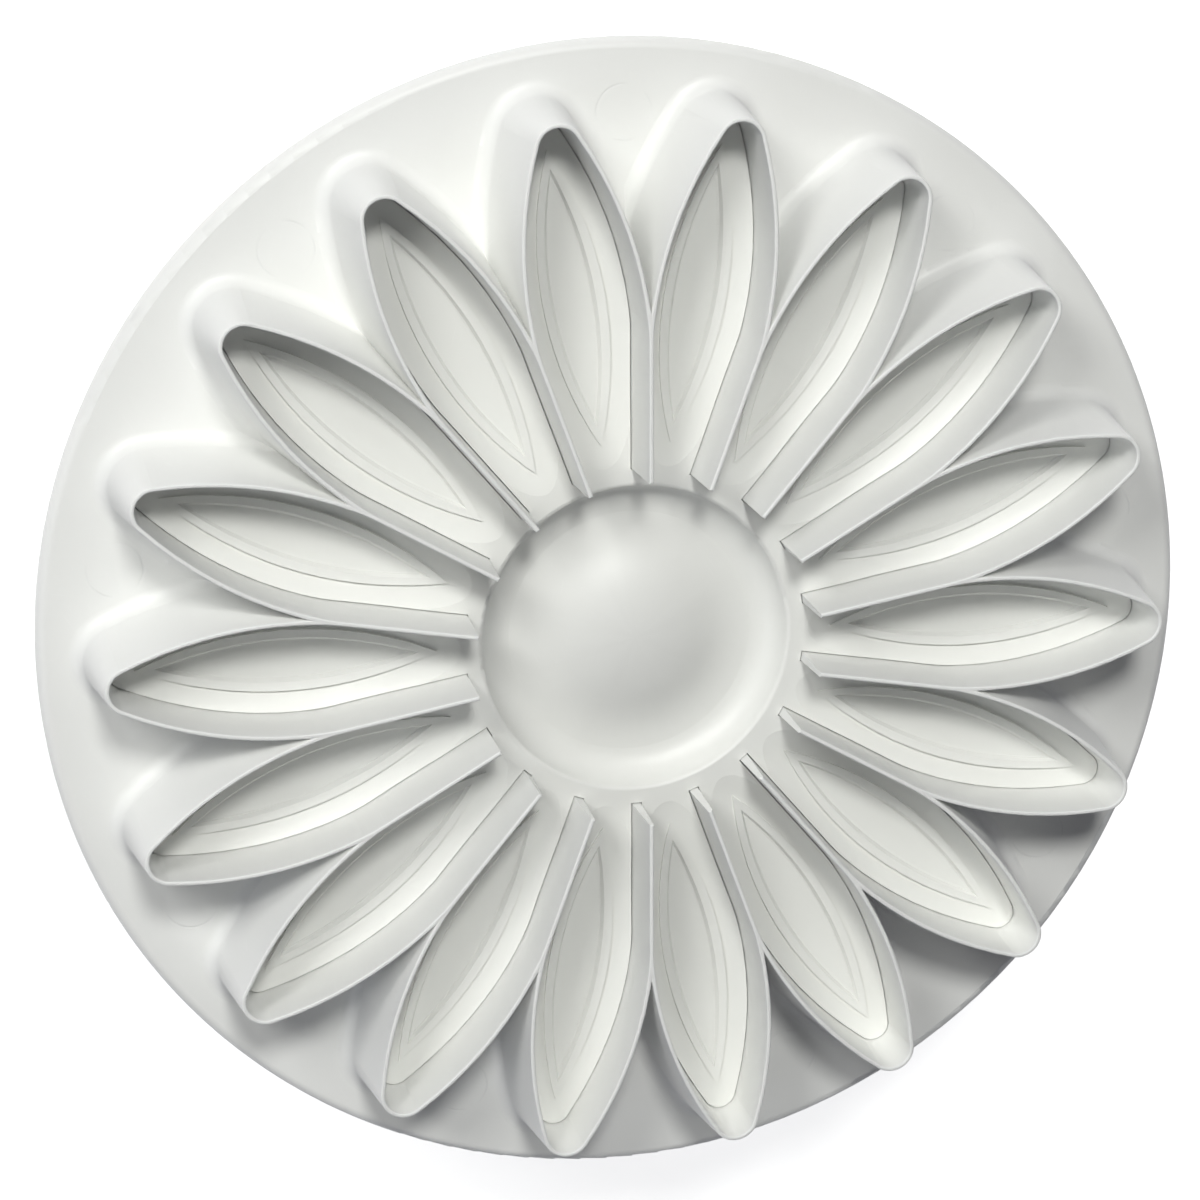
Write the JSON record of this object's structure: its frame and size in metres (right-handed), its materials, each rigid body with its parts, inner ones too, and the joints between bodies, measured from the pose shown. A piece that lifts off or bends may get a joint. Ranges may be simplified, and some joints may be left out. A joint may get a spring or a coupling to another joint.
{
  "type": "plunger cutter",
  "caption": "Daisy-shaped plunger cutter for paste and dough: drafted petal walls on a round flange, a spring-loaded embossing plate inside them, and a push button behind.",
  "frame": {"origin": "centre of the push button's flat pressing face, the lowest point of the object as it stands", "axes": "+Z along the plunger, from the button to the cutting edge; +X along the middle of one petal"},
  "size_m": [0.115, 0.115, 0.0458],
  "materials": {
    "white_plastic": "satin moulded",
    "plate_plastic": "satin moulded",
    "spring_steel": "drawn stainless wire",
    "steel": "stainless"
  },
  "bodies": {
    "cutter": {"cutter_body": "white_plastic", "return_spring": "spring_steel"},
    "plunger": {"embossing_plate": "plate_plastic", "plunger_stem": "white_plastic", "push_button": "white_plastic", "button_cap": "white_plastic", "spring_seat": "steel", "button_screw": "steel", "screw_washer": "steel"}
  },
  "joints": [
    {"name": "plunge", "type": "slide", "parent": "cutter", "child": "plunger", "axis": [0, 0, 1], "range_m": [0, 0.0071], "stiffness_N_per_m": 500, "springref_m": -0.01, "deforming": ["return_spring"]}
  ]
}
